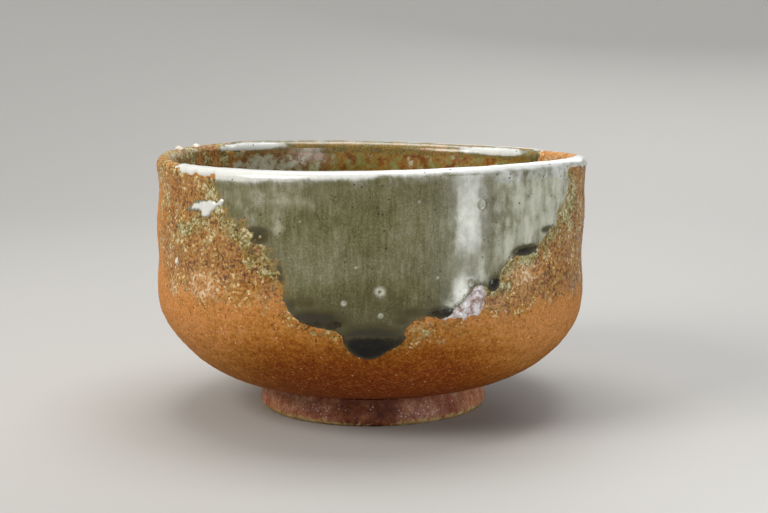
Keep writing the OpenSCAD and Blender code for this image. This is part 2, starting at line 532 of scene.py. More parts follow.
def fired_tone_and_belly_shade(turn, z):
    """How deep the clay's colour is: pale orange on the shoulder, red brown at the foot and deepest
    in front, under the glaze. The darkening towards the foot, strongest in front, is partly the
    clay's fired tone and partly painted shade on the belly that faces down; the lighter left side
    is partly painted light."""
    degrees = math.degrees(turn)
    aside = step(18, 58, abs(degrees + 4))
    u = turn * bowl_r
    drift = 5 * grain(u, 12, z, 26) * step(80, 110, abs(degrees))
    leftward = step(-8, -44, degrees) * step(-120, -90, degrees)
    # Painted shade and light: darker in front than at the sides, and lighter on the left.
    return step(42 - 8 * aside, 14 - 16 * aside, z + drift) * (1 - 0.2 * aside - 0.33 * leftward)


pale_marks = [
    (1, -45, 42, 9, 5), (0.7, -58, 39, 9, 5), (0.8, 42, 45, 8, 5), (0.55, -10, 33, 6, 2.2),
    (0.5, 12, 33.5, 4, 2.6), (0.35, 22, 31, 9, 3), (0.5, -30, 39, 8, 4),
]


def pale_ash(turn, z):
    """Where the ash is pinkish and bone coloured, and never melted."""
    return marked(turn, z, pale_marks)


green_marks = [
    (1, -52, 56.5, 8, 2.4), (0.7, -46, 60, 9, 5), (0.8, -40, 39, 2.4, 1.4), (0.8, 62, 62, 9, 10),
    (0.6, -42, 66, 10, 4), (0.6, -30, 52, 5, 7), (0.7, 15, 21, 2, 3), (0.6, -12, 32, 5, 2),
    (0.6, 12, 31.5, 5, 2.4), (0.5, 48, 52, 7, 5), (0.5, -24, 43, 4, 6), (0.6, 20, 28, 4, 3),
    (0.6, 26, 30, 8, 3),
]


def green_ash(turn, z):
    """Where the ash melted enough to turn olive, always so right beside the glaze."""
    beside = 0
    if abs(turn) < apron_reach:
        beside = 0.82 * step(-8, -1, apron.depth(turn, z)) * step(35, 42, z)
    return max(beside, 0.30 * step(44, 52, z), marked(turn, z, green_marks))


body_line = Line()
body_line.run((0, recess_h - nub_h), (nub_r, recess_h)).run((nub_r, recess_h), (boss_r, recess_h))
body_line.run((boss_r, recess_h), (boss_r, foot_h)).run((boss_r, foot_h), (joint_r, foot_h))
under_length = body_line.length
outer_side(body_line)
outer_length = body_line.length
body_line.arc((bowl_r - lip_r, lip_z), lip_r, 90, 270)
lip_length = body_line.length
inner_side(body_line)

body_mesh, along = spun(body_line, 1.05, 400)
ash, deep, pale, green = layers_of(body_mesh, "ash", "deep", "pale", "green")
for corner in body_mesh.verts:
    turn = angle_of(corner)
    x, y, z = corner.co
    distance = corner[along]
    outside = under_length <= distance <= outer_length
    near = apron.depth(turn, z) if outside and abs(turn) < apron_reach and z > 20 else -9
    cover = step(-0.6, 1.0, near)
    relief = clay_relief(x, y, z, turn, 1 - 0.8 * cover) - 0.12 * cover
    if outside:
        corner[ash] = ash_fall(turn, z)
        corner[deep] = fired_tone_and_belly_shade(turn, z)
        corner[pale] = pale_ash(turn, z)
        corner[green] = green_ash(turn, z)
    else:
        degrees = math.degrees(turn)
        left = step(-44, -56, degrees) * step(-138, -126, degrees)
        up = step(outer_length - 1, outer_length, distance) * step(60, 68, z)
        corner[ash] = (0.45 + 0.5 * left) * up
        # Painted light: the olive and pale granules here are partly the ash's own colour and partly
        # lighten a band that lies in shade.
        corner[green] = 0.5 * left * up
        bare_right = 0.8 * step(84, 96, degrees) * step(136, 122, degrees) * step(50, 60, z)
        corner[pale] = max(bare_right, 0.35 * left * up)
        relief += 0.35 * left * up * max(0, grain(x, y, z, 2.2) + 0.2)
    if distance > lip_length:
        relief -= 0.10
    if distance < 0.5:
        relief = 0
    corner.co = thrown(*body_line.at(distance), turn, relief)


def granules(finish, size, patchy):
    """Ash grains, each its own colour, from burnt brown through amber and tan to bone. Olive
    patches and pale patches follow the piece's own layers."""
    crumbs = finish.cells(size, ragged=0.6)
    pick = finish.channel(crumbs, 0)
    pick = finish.sum("MULTIPLY", pick, 0.75)
    pick = finish.sum("ADD", pick, finish.ramp(patchy, 0.3, 0.7, -0.08, 0.30))
    amber = finish.colours(pick, (0.04, "3a1e06"), (0.20, "6e4412"), (0.36, "955f22"), (0.52, "a56f2c"),
                           (0.66, "96783a"), (0.80, "b98c50"), (0.93, "dcc692"))
    olive = finish.colours(pick, (0.04, "38280a"), (0.22, "6a5216"), (0.40, "7c7030"), (0.58, "8e8c54"),
                           (0.76, "a9a378"), (0.93, "cfc9aa"))
    bone = finish.colours(pick, (0.04, "5c300c"), (0.20, "8e5c28"), (0.38, "b67e42"), (0.55, "c89a64"),
                          (0.72, "dabb8c"), (0.90, "f2e8d0"))
    wander = finish.ramp(patchy, 0.3, 0.7, -0.25, 0.25)
    greener = finish.ramp(finish.sum("ADD", finish.layer("green"), wander), 0.25, 0.8)
    paler = finish.ramp(finish.sum("SUBTRACT", finish.layer("pale"), wander), 0.25, 0.8)
    return finish.mix(paler, finish.mix(greener, amber, olive), bone)


def fired_colour(finish, extra):
    """The clay's own colour and the ash on it, for bare clay and for ash crust alike. Extra adds
    to the ash. It also gives how far ash covers the clay, and two of its patterns."""
    patchy = finish.clouds(5.5, 3, 0.6)
    small = finish.clouds(1.7, 3, 0.65)
    fine = finish.clouds(0.5, 3, 0.7)
    streaks = finish.clouds(2.0, 3, 0.6, stretch=(0.16, 0.16, 1.6))
    # The deep layer is partly the clay's fired tone and partly painted shade on the lower belly.
    fired = finish.loosened(finish.layer("deep"), patchy, 0.08)
    fired = finish.loosened(fired, streaks, 0.04, 0.35, 0.65)
    fired = finish.loosened(fired, small, 0.12)
    base = finish.colours(fired, (0.0, "c88a4e"), (0.25, "b07430"), (0.50, "985810"), (0.75, "884204"),
                          (1.0, "803400"))
    sand = finish.cells(0.55, ragged=0.5)
    sand = finish.channel(sand, 0)
    base = finish.mix(finish.ramp(sand, 0.55, 0.95, 0, 0.38), base, finish.mix(0.55, base, "e09648"))
    base = finish.mix(finish.ramp(sand, 0.45, 0.05, 0, 0.6), base, finish.mix(0.5, base, "4a1c02"))
    base = finish.mix(finish.ramp(fine, 0.35, 0.75, 0.0, 0.55), base, finish.mix(0.6, base, "4a1c04"))
    base = finish.stain(base, "d9a268", fine, 0.45, 0.25, 0.30)
    fall = finish.loosened(finish.layer("ash"), patchy, 0.3)
    fall = finish.loosened(fall, small, 0.25)
    covered = finish.ramp(fall, 0.30 - extra, 0.95 - extra)
    base = finish.mix(finish.sum("MULTIPLY", covered, 0.92), base, granules(finish, 0.62, patchy))
    stray = finish.ramp(finish.loosened(finish.layer("pale"), small, 0.3, 0.35, 0.65), 0.4, 0.8)
    base = finish.mix(finish.sum("MULTIPLY", stray, 0.55), base, granules(finish, 0.9, small))
    return base, covered, fine, streaks


def bare_clay():
    clay = Finish("bare_clay", roughness=0.8, specular_ior_level=0.14)
    base, covered, fine, streaks = fired_colour(clay, 0.0)
    dots, which = clay.specks(1.5, 0.10, 0.20, 0.5)
    base = clay.mix(clay.sum("MULTIPLY", dots, clay.ramp(which, 0.70, 0.76, 0, 0.9)), base, "241206")
    base = clay.mix(clay.sum("MULTIPLY", dots, clay.ramp(which, 0.22, 0.16, 0, 0.85)), base, "dcb98c")
    relief = clay.bump(fine, 0.16)
    relief = clay.bump(clay.clouds(1.4, 3, 0.6), 0.32, relief)
    relief = clay.bump(streaks, 0.16, relief)
    relief = clay.bump(dots, -0.05, relief)
    return clay.finish(base_color=base, normal=relief,
                       roughness=clay.ramp(covered, 0, 1, 0.82, 0.45))


clay_finish = bare_clay()
finished("thrown_body", body_mesh, clay_finish, "stoneware_clay", "thrown_body")


# ---- The ring foot --------------------------------------------------------------------------
# A ring of the same clay, seated round a low boss under the floor and luted on with slip. It was
# turned while leather hard, its resting edge was sponged round, and kiln vapour flashed it.

foot_taper = 0.9
foot_edge = 1.6
foot_inner_edge = 1
slip_z = foot_h - 1.2
slip_r = 0.5
groove_z = 6.4
foot_top = foot_h + 0.3
neck_r = foot_r - foot_taper
foot_line = Line()
foot_line.run((boss_r, foot_top), (boss_r, foot_inner_edge))
foot_line.arc((boss_r + foot_inner_edge, foot_inner_edge), foot_inner_edge, 270, 360)
foot_line.run((boss_r + foot_inner_edge, 0), (foot_r - foot_edge, 0))
foot_line.arc((foot_r - foot_edge, foot_edge), foot_edge, 0, 84)
foot_line.run((foot_r, foot_edge), (neck_r, slip_z)).run((neck_r, slip_z), (neck_r + slip_r, foot_top))

foot_mesh, along = spun(foot_line, 0.5, 400, close=True)
edge, gloss_and_glints, flush, dim = layers_of(foot_mesh, "edge", "gloss_and_glints", "flush", "dim")
for corner in foot_mesh.verts:
    turn = angle_of(corner)
    x, y, z = corner.co
    r, high, nr, nz = foot_line.at(corner[along])
    side = step(0.8, 2.0, z)
    relief = (0.10 * grain(x, y, z, 2.2) + 0.12 * grain(x, y, z * 0.4, 9)) * side
    groove = -0.22 * step(0.5, 0, abs(z - groove_z)) * (nr > 0)
    wear = 0.25 * step(-0.2, 0.6, grain(x, y, z, 6)) * (1 - step(0.6, 2.6, z)) * (nr > 0)
    degrees = math.degrees(turn)
    middle = step(-26, -8, degrees) * step(20, 6, degrees)
    corner[edge] = (1 - step(0.6, 2.6, z)) * (1 - 0.6 * middle) if nr > -0.5 else 0.2
    # Two patches where the foot is glossier and where its white specks paint glints.
    corner[gloss_and_glints] = max(spot(turn, z, -30, 4.2, 12, 2.6), spot(turn, z, 26, 3.0, 16, 2.4), 0.25)
    corner[flush] = max(step(44, 62, degrees) * step(120, 80, degrees), spot(turn, z, -66, 4, 22, 6))
    corner[dim] = middle * (1 - 0.7 * spot(turn, z, -4, 3, 4, 2))
    lift = relief + groove - wear
    out = r + nr * lift
    up = high + nz * min(lift, 0) * side
    corner.co = Vector((out * math.sin(turn), -out * math.cos(turn), up)) * MM


def flashed_foot():
    foot = Finish("flashed_foot", roughness=0.45, specular_ior_level=0.35)
    patchy = foot.clouds(4.5, 3, 0.65)
    small = foot.clouds(1.4, 3, 0.65)
    fine = foot.clouds(0.45, 3, 0.7)
    tone = foot.sum("MULTIPLY_ADD", patchy, 0.65, foot.sum("MULTIPLY", small, 0.35))
    base = foot.colours(tone, (0.34, "74321a"), (0.44, "955238"), (0.52, "a86c4a"), (0.60, "ba8462"),
                        (0.70, "cea284"))
    base = foot.mix(foot.ramp(foot.layer("flush"), 0.1, 0.9, 0, 0.85), base,
                    foot.colours(tone, (0.36, "b8673a"), (0.52, "d08c60"), (0.66, "dfb494")))
    base = foot.mix(foot.ramp(foot.layer("dim"), 0.1, 0.9, 0, 0.85), base,
                    foot.colours(tone, (0.36, "3c1400"), (0.52, "6e2e06"), (0.66, "8a4a12")))
    base = foot.stain(base, "401a0c", fine, 0.35, 0.75, 0.6)
    edge = foot.loosened(foot.layer("edge"), small, 0.3)
    base = foot.mix(foot.ramp(edge, 0.25, 0.8, 0, 0.9), base,
                    foot.colours(tone, (0.36, "8a6a34"), (0.50, "b09258"), (0.66, "cdb888")))
    dots, which = foot.specks(0.75, 0.16, 0.34, 0.6)
    base = foot.mix(foot.sum("MULTIPLY", dots, foot.ramp(which, 0.74, 0.80)), base, "1c0d06")
    gloss_and_glint_share = foot.loosened(foot.layer("gloss_and_glints"), small, 0.25, 0.35, 0.65)
    # Painted glints: near-white specks, densest in the glossy patches, stand in for sparkle; the lower
    # roughness there is real gloss.
    painted_glint_specks = foot.sum("LESS_THAN", which, foot.ramp(gloss_and_glint_share, 0.2, 1.0, 0.05, 0.75))
    painted_glint_specks = foot.sum("MULTIPLY", dots, painted_glint_specks)
    base = foot.mix(foot.sum("MULTIPLY", painted_glint_specks, 0.8), base, "e4d4d0")
    relief = foot.bump(foot.clouds(1.0, 3, 0.6), 0.30, foot.bump(fine, 0.12))
    return foot.finish(base_color=base, normal=relief, roughness=foot.ramp(gloss_and_glint_share, 0.2, 0.8, 0.6, 0.22))


finished("foot_ring", foot_mesh, flashed_foot(), "foot_clay", "foot_ring")


# ---- The front glaze ------------------------------------------------------------------------
# Ash glaze poured over the lip ran down the front in a broad apron. It thins to specks on the
# left, rolls into thick green edges below and on the right, and has pinholes and blisters.

outer_line = outer_side(Line())
pinholes = [  # angle, height, radius, depth
    (2.6, 43.1, 1.5, 0.34), (27.2, 64.4, 1.0, 0.34), (-28.6, 54.2, 0.8, 0.25),
    (24.8, 44.4, 0.9, 0.28), (11.6, 66.0, 0.5, 0.28), (11.3, 67.3, 0.35, 0.22),
    (-5.8, 40.2, 0.8, 0.10), (16.5, 46.3, 0.4, 0.2), (-16.6, 61.2, 0.4, 0.2),
    (2.8, 37.0, 0.7, 0.10), (49, 66.3, 0.5, 0.2), (-2.8, 49.5, 0.35, 0.15),
]


def apron_depth(turn, z):
    """How far inside the front glaze's edge a spot lies: the edge is crisp below, where it
    rolled up, and frayed at both sides, where it thinned into the ash."""
    u = turn * bowl_r
    degrees = math.degrees(turn)
    frayed = max(step(-17, -24, degrees) * step(38, 44, z), step(46, 54, degrees))
    depth = apron.depth(turn, z) + 0.5 * grain(u, 0, z, 2.4) + 0.25 * grain(u, 5, z, 0.9)
    torn = 4.5 * grain(u, 3, z, 5.5) + 3.0 * grain(u, 3, z, 2.0) + 1.6 * grain(u, 3, z, 0.9)
    return depth + frayed * torn


def pinhole_mark(turn, z):
    """(change of thickness, white halo, dark heart) where blisters burst in the glaze."""
    u = turn * bowl_r
    change = halo = heart = 0
    for angle, height, radius, depth in pinholes:
        away = math.hypot(u - math.radians(angle) * bowl_r, z - height) / radius
        if away < 2.4:
            change -= depth * max(0, 1 - away * away) ** 1.5
            change += 0.3 * depth * math.exp(-12 * (away - 1.05) ** 2)
            halo = max(halo, math.exp(-1.3 * away ** 2.4))
            heart = max(heart, 1 - step(0.12, 0.42, away))
    return change, halo, heart


def apron_coat(turn, z):
    """How thick the front glaze stands: rolled at its crisp edges and sheer at the frayed ones."""
    depth = apron_depth(turn, z)
    if depth < 0:
        return max(-0.35, 0.3 * depth)
    u = turn * bowl_r
    left = step(-17, -23, math.degrees(turn)) * step(40, 43, z)
    right = step(50, 58, math.degrees(turn))
    thin = max(left, right)
    roll = 0.50 * math.sqrt(1 - (1 - min(1, depth / 2.2)) ** 2)
    sheer = 0.46 * step(0, 9, depth)
    runs = 0.05 * grain(u, 0, z / 9, 2.6) + 0.07 * grain(u, 9, z / 2, 11)
    up = step(67.0, 71.2, z)
    runs *= step(0, 3, depth) * (1 - up)
    return (roll * (1 - thin) + sheer * thin) * (1 - 0.35 * up) + runs + pinhole_mark(turn, z)[0]


def cut_away(mesh, lifts, sunk):
    """Removes the faces of a coat that lie deeper under the clay than that at every corner."""
    far = [f for f in mesh.faces if all(v[lifts] < -sunk for v in f.verts)]
    bmesh.ops.delete(mesh, geom=far, context="FACES")


def coat(low, high, from_z, to_z, pitch, thickness):
    """A sheet laid on the wall between two angles and two heights, as thick as the rule says.
    Where the rule is below nothing the sheet dives under the clay, and far out it is cut away."""
    probes = 800
    probe = [outer_line.length * i / probes for i in range(probes + 1)]
    held = [d for d in probe if from_z <= outer_line.at(d)[1] <= to_z]
    rows = max(2, round((held[-1] - held[0]) / pitch / 2))
    span = math.radians(high - low)
    steps = max(2, round(span * bowl_r / pitch / 2))
    points = points_on(outer_line, held[0], held[-1], rows)
    mesh, along = swept(points, math.radians(low), span, steps)
    halved(mesh)
    lifts = mesh.verts.layers.float.new("lift")
    for corner in mesh.verts:
        corner[lifts] = thickness(angle_of(corner), outer_line.at(corner[along])[1])
    cut_away(mesh, lifts, 0.3)
    return mesh, along, lifts


def settled(mesh, along, lifts, line=outer_line, body=0.5):
    """Moves a coat's sheet to its place on the thrown wall and closes it with a back."""
    for corner in mesh.verts:
        corner.co = thrown(*line.at(corner[along]), angle_of(corner), corner[lifts])
    bmesh.ops.recalc_face_normals(mesh, faces=mesh.faces)
    mesh.faces.ensure_lookup_table()
    face = mesh.faces[0]
    r, z, nr, nz = line.at(face.verts[0][along])
    middle = face.calc_center_median()
    reach = math.hypot(middle.x, middle.y)
    facing = face.normal.dot(Vector((nr * middle.x / reach, nr * middle.y / reach, nz)))
    if facing < 0:
        bmesh.ops.reverse_faces(mesh, faces=mesh.faces)
    bmesh.ops.solidify(mesh, geom=mesh.faces[:], thickness=body * MM)


def add_layers(mesh, **rules):
    """Stores a value from 0 to 1 on every vertex for each rule of angle and height."""
    for name, rule in rules.items():
        layer = mesh.verts.layers.float.new(name)
        for corner in mesh.verts:
            corner[layer] = rule(angle_of(corner), corner.co.z)


apron_mesh, along, lifts = coat(-50, 68, 23.5, 71.2, 0.42, apron_coat)


# The first three marks lie on the right strip's reflection: the top one is mostly painted reflection, the
# two below it are clouded glaze with painted reflection in them.
milk_and_reflection_marks = [
    (0.55, 23.5, 61, 4.5, 13), (0.95, 22.4, 42, 3, 5.5), (0.9, 19.5, 38.6, 2.4, 2),
    (0.6, 42, 63.5, 5, 3), (0.6, 45, 58.5, 5, 2.6), (0.6, 52, 63, 2.4, 7), (0.6, 28, 47, 1.6, 7),
    (0.35, -25, 67, 14, 4), (0.5, 46, 66, 3, 3), (0.35, -29, 61, 3, 4), (0.4, -22, 60, 3, 4),
    (0.3, -31, 65, 6, 3),
]


def apron_milk_and_reflection(turn, z):
    """Where the glaze is clouded white: burst blisters, a curd at the lower right and the
    thinner streaks on the right. The upright streak above the curd is partly clouded glaze and
    partly a painted reflection of the upright soft box on the right."""
    degrees = math.degrees(turn)
    u = turn * bowl_r
    right = step(27, 36, degrees) * step(46, 54, z + 0.25 * (40 - degrees))
    streaky = 0.5 + 1.1 * grain(u, 7, z / 4, 3) + 0.5 * grain(u, 7, z / 3, 1.2)
    halo = pinhole_mark(turn, z)[1]
    return min(1, max(halo, right * (0.42 + 0.46 * streaky), marked(turn, z, milk_and_reflection_marks)))


pool_marks = [
    (1.5, 0.5, 30.0, 9.5, 4.8), (1.4, -13, 35.6, 8, 2.8), (0.75, -19, 39, 2.2, 2.4),
    (1.2, 17, 37.4, 3.6, 1.8), (0.75, -27.5, 57.2, 4.0, 2.8), (1.3, 32, 43.5, 2.2, 2.4),
    (1.3, 41.5, 51.4, 4.4, 1.6), (0.8, 50, 56.2, 4, 1.2), (0.55, 7.5, 35.5, 3, 1.6),
    (0.45, -21.5, 47, 1.6, 5), (0.5, 10, 37.5, 6, 2), (0.4, -15, 40, 5, 3),
]


def apron_pool(turn, z):
    """Where the glaze gathered thick and went bottle green to black."""
    return marked(turn, z, pool_marks)


add_layers(
    apron_mesh,
    milk=apron_milk_and_reflection,
    pool=apron_pool,
    heart=lambda turn, z: pinhole_mark(turn, z)[2],
    low=lambda turn, z: step(52, 36, z),
    inside=lambda turn, z: min(1, max(0, apron_depth(turn, z) / 8)),
    sheer=lambda turn, z: max(step(-16, -24, math.degrees(turn)) * step(38, 43, z),
                              step(48, 58, math.degrees(turn)), spot(turn, z, 12, 36.6, 2.6, 2)),
)
settled(apron_mesh, along, lifts)


def ash_glaze(name, white):
    """The olive glaze with its own layers: milk clouds it, pool darkens it and sheer thins it."""
    glaze = Finish(name, roughness=0.30, ior=1.5, coat_weight=0.55, coat_roughness=0.14)
    broad = glaze.clouds(14, 2, 0.5)
    patchy = glaze.clouds(3.2, 3, 0.6)
    fine = glaze.clouds(0.5, 3, 0.7)
    runs = glaze.clouds(0.9, 3, 0.65, stretch=(1, 1, 0.10))
    tone = glaze.sum("MULTIPLY_ADD", broad, 0.35, glaze.sum("MULTIPLY", patchy, 0.25))
    tone = glaze.sum("MULTIPLY_ADD", runs, 0.40, tone)
    low = glaze.ramp(glaze.layer("low"), 0.0, 1.0, 0.0, 0.10)
    tone = glaze.sum("SUBTRACT", tone, low)
    base = glaze.colours(tone, (0.36, "4f4a22"), (0.45, "636038"), (0.53, "73714e"), (0.64, "8a886c"))
    base = glaze.stain(base, "3c3614", fine, 0.35, 0.75, 0.50)
    base = glaze.stain(base, "a9a78c", fine, 0.5, 0.25, 0.30)
    milk = glaze.loosened(glaze.layer("milk"), patchy, 0.14)
    milk = glaze.loosened(milk, fine, 0.10)
    milk = glaze.ramp(milk, 0.06, 0.98)
    base = glaze.mix(glaze.sum("MULTIPLY", milk, 0.95), base, white)
    edge = glaze.loosened(glaze.layer("inside"), fine, 0.12)
    thin = glaze.sum("MULTIPLY", glaze.ramp(edge, 0.42, 0.0), glaze.layer("sheer"))
    amber = glaze.mix(glaze.ramp(patchy, 0.35, 0.65), "8a8240", "ac7a30")
    amber = glaze.stain(amber, "664614", fine, 0.4, 0.6, 0.8)
    base = glaze.mix(glaze.sum("MULTIPLY", thin, 0.95), base, amber)
    pool = glaze.loosened(glaze.layer("pool"), patchy, 0.1)
    rolled = glaze.sum("MULTIPLY", glaze.ramp(edge, 0.16, 0.0),
                       glaze.sum("SUBTRACT", 1.0, glaze.layer("sheer")))
    base = glaze.mix(glaze.sum("MULTIPLY", rolled, 0.7), base, "3c3610")
    base = glaze.stain(base, "423c12", pool, 0.10, 0.5)
    base = glaze.stain(base, "2a2510", pool, 0.45, 0.95)
    craze = glaze.cells(3.4, "DISTANCE_TO_EDGE", stretch=(1, 1, 0.3), ragged=0.5).outputs["Distance"]
    cracks = glaze.ramp(craze, 0.0, 0.035, 0.30, 0.0)
    cracks = glaze.sum("MULTIPLY", cracks, glaze.ramp(milk, 0, 1, 1, 0.3))
    base = glaze.mix(cracks, base, "353012")
    dots, which = glaze.specks(2.3, 0.07, 0.17, 0.5)
    base = glaze.mix(glaze.sum("MULTIPLY", dots, glaze.ramp(which, 0.55, 0.6, 0, 0.85)), base, "1c1808")
    base = glaze.mix(glaze.layer("heart"), base, "1b1c22")
    relief = glaze.bump(craze, 0.006)
    relief = glaze.bump(patchy, 0.05, relief)
    relief = glaze.bump(fine, 0.02, relief)
    wet = glaze.ramp(pool, 0.10, 0.7, 0.55, 0.10)
    return glaze.finish(base_color=base, normal=relief, coat_weight=wet)


finished("outer_glaze", apron_mesh, ash_glaze("ash_glaze", "c6c6b4"), "ash_glaze", "outer_glaze")


# ---- The rim glaze --------------------------------------------------------------------------
# The same glaze drew into a thick milky roll over the lip. It is missing on the left, where ash
# crusted the bare clay, and breaks to amber along the back.

rim_low = 67.6
rim_line = Line().run((bowl_r, rim_low), (bowl_r, lip_z))
rim_line.arc((bowl_r - lip_r, lip_z), lip_r, 90, 270)
rim_line.run((bowl_r - wall_t, lip_z), (bowl_r - wall_t, rim_low))
crest = lip_z - rim_low + lip_r * math.pi / 2


def rim_cover(turn, distance):
    """How fully the roll covers a spot: none where ash crusted the lip on the left, and torn
    thin at the far right."""
    degrees = math.degrees(turn)
    x, y = math.sin(turn) * bowl_r, -math.cos(turn) * bowl_r
    fray = 5 * grain(x, y, distance, 3.5) + 3 * grain(x, y, distance, 1.5)
    front = step(-69, -49, degrees + fray) * step(94, 76, degrees + fray)
    if distance < crest - 2 and abs(degrees) < 90:
        z = rim_line.at(distance)[1]
        front *= max(step(-1.5, 1.5, apron_depth(turn, min(z, 70))),
                     step(71.0, 72.2, z + 1.4 * grain(x, y, z, 3) + 0.8 * grain(x, y, z, 1.3)))
    back = max(step(-120, -134, degrees + fray), step(112, 126, degrees + fray))
    if distance < crest - 1:
        z = rim_line.at(distance)[1]
        ragged = 2.6 * grain(x, y, 0, 9) + 2.0 * grain(x, y, z / 2, 2.6) + 0.8 * grain(x, y, z, 1)
        back *= step(70.4, 71.8, z + ragged)
    return max(front, back)


def rim_white(turn, past):
    """How white the roll is, by how far past the crest a spot lies on the inside. At the back the
    long patches and the thin line just inside the crest are white glaze with painted highlight in them.
    """
    degrees = math.degrees(turn)
    x, y = math.sin(turn) * bowl_r, -math.cos(turn) * bowl_r
    if abs(degrees) < 100:
        wide = 1.3 * step(2, -34, degrees)
        past += 0.7 * grain(x, y, 0, 8) + 0.25 * grain(x, y, past, 2)
        white = 0.62 * step(-3.0 - wide, -1.5 - wide, past)
        white += 0.38 * step(-5.2 - wide, -1.2 - wide, past)
        return white * step(4.6, 2.6, past)
    u = turn * bowl_r
    torn = grain(u / 5, 3, past * 0.8, 3.2) + 0.4 * grain(u / 2, 9, past, 1.6)
    torn += 0.3 * grain(u, 6, past, 1.2)
    # Painted highlight: the two long patches and the thin line below are partly the rim's highlight
    # painted white.
    long_patches_and_highlights = max(spot(turn, past, -138, 2.4, 17, 1.5), spot(turn, past, 138, 2.4, 15, 1.5))
    patches = max(0.7 * step(0.4, 1.6, past) * step(0.0, 0.8, torn - 0.12 * max(0, past - 2.4)),
                  step(0.2, 0.7, long_patches_and_highlights + 0.25 * torn))
    line = 0.45 * step(0.9, 0.1, abs(past - 0.8)) * step(-0.4, 0.5, grain(u / 3, 1, 0, 3))
    return max(patches, line)


def inner_coat(turn, z, x, y):
    """How thick the inside glaze stands on the wall; the rim's roll grows out of it."""
    degrees = math.degrees(turn)
    bare = step(92, 104, degrees) * step(132, 118, degrees) * step(52, 60, z + 3 * grain(x, y, z, 5))
    left = step(-50, -66, degrees) * step(-136, -120, degrees) * step(60, 67, z + 5 * grain(x, y, z, 4))
    runs = 0.10 * grain(x, y, z / 9, 3.4) * step(14, 24, z) + 0.07 * grain(x, y, z, 9)
    skin = 0.02 * grain(x, y, z, 1.6)
    return (0.42 + runs + skin) * (1 - max(bare, left)) - 0.36 * max(bare, left)


rim_mesh, along = spun(rim_line, 0.42, 640)
lifts, milk, inside, sheer = layers_of(rim_mesh, "lift", "milk", "inside", "sheer")
for corner in rim_mesh.verts:
    turn = angle_of(corner)
    distance = corner[along]
    from_end = min(distance, rim_line.length - distance)
    cover = rim_cover(turn, distance)
    x, y, z = corner.co
    swell = 0.44 + 0.05 * grain(x, y, z, 6) + 0.02 * grain(x, y, z, 1.6)
    front = abs(turn) < 1.57
    fade = step(0, 5.0, from_end + 0.4 * grain(x, y, z, 3))
    under = -0.1
    if distance > crest:
        under = inner_coat(turn, z, x, y)
    elif abs(turn) < 1.2:
        under = apron_coat(turn, min(z, 71))
    start = max(-0.1, under - 0.05)
    corner[lifts] = (start + (max(swell, under + 0.05) - start) * fade) * cover - 0.4 * (1 - cover)
    white = rim_white(turn, distance - crest)
    # In front, below the crest, the roll takes the apron's milk, painted reflection included.
    if front and distance < crest:
        white = max(white, 0.8 * apron_milk_and_reflection(turn, z))
    corner[milk] = white * step(0.05, 0.45, cover)
    back = step(105, 125, abs(math.degrees(turn)))
    amber = min(1, back * (1 - white) * (0.92 + 0.2 * grain(x, y, distance, 3)))
    corner[inside] = min(cover * (1 if front else step(0, 1.5, from_end)), 1 - amber)
    corner[sheer] = max(back, 1 - step(0.4, 1.0, cover))
cut_away(rim_mesh, lifts, 0.32)
settled(rim_mesh, along, lifts, rim_line, 0.45)
milky_finish = ash_glaze("milky_glaze", "dcdeda")
finished("rim_glaze", rim_mesh, milky_finish, "milky_glaze", "rim_glaze")


# ---- The inside glaze -----------------------------------------------------------------------
# One coat swilled round the inside. It is olive where thick, amber and rust where thin, milky in
# streaks that ran down the wall, and it left the clay bare under the lip on the right.

inner_line = inner_side(Line())
inner_mesh, along = spun(inner_line, 1.05, 360)
lifts, milk, inside, pool = layers_of(inner_mesh, "lift", "milk", "inside", "pool")
for corner in inner_mesh.verts:
    turn = angle_of(corner)
    x, y, z = corner.co
    corner[lifts] = inner_coat(turn, z, x, y)
    streak = grain(x, y, z / 8, 5) + 0.5 * grain(x, y, z / 5, 1.8)
    left_back = spot(turn, z, -140, 66, 26, 5)
    corner[milk] = max(step(0.15, 0.75, streak), 0.75 * left_back) * step(20, 40, z)
    thick = min(1, max(0, corner[lifts] / 0.35))
    level = z - 10 * left_back + 7 * grain(x, y, z, 7)
    corner[inside] = thick * (0.40 + 0.60 * step(75, 50, level))
    corner[pool] = 1 - step(13, 17, z)
cut_away(inner_mesh, lifts, 0.3)
settled(inner_mesh, along, lifts, inner_line, 0.4)


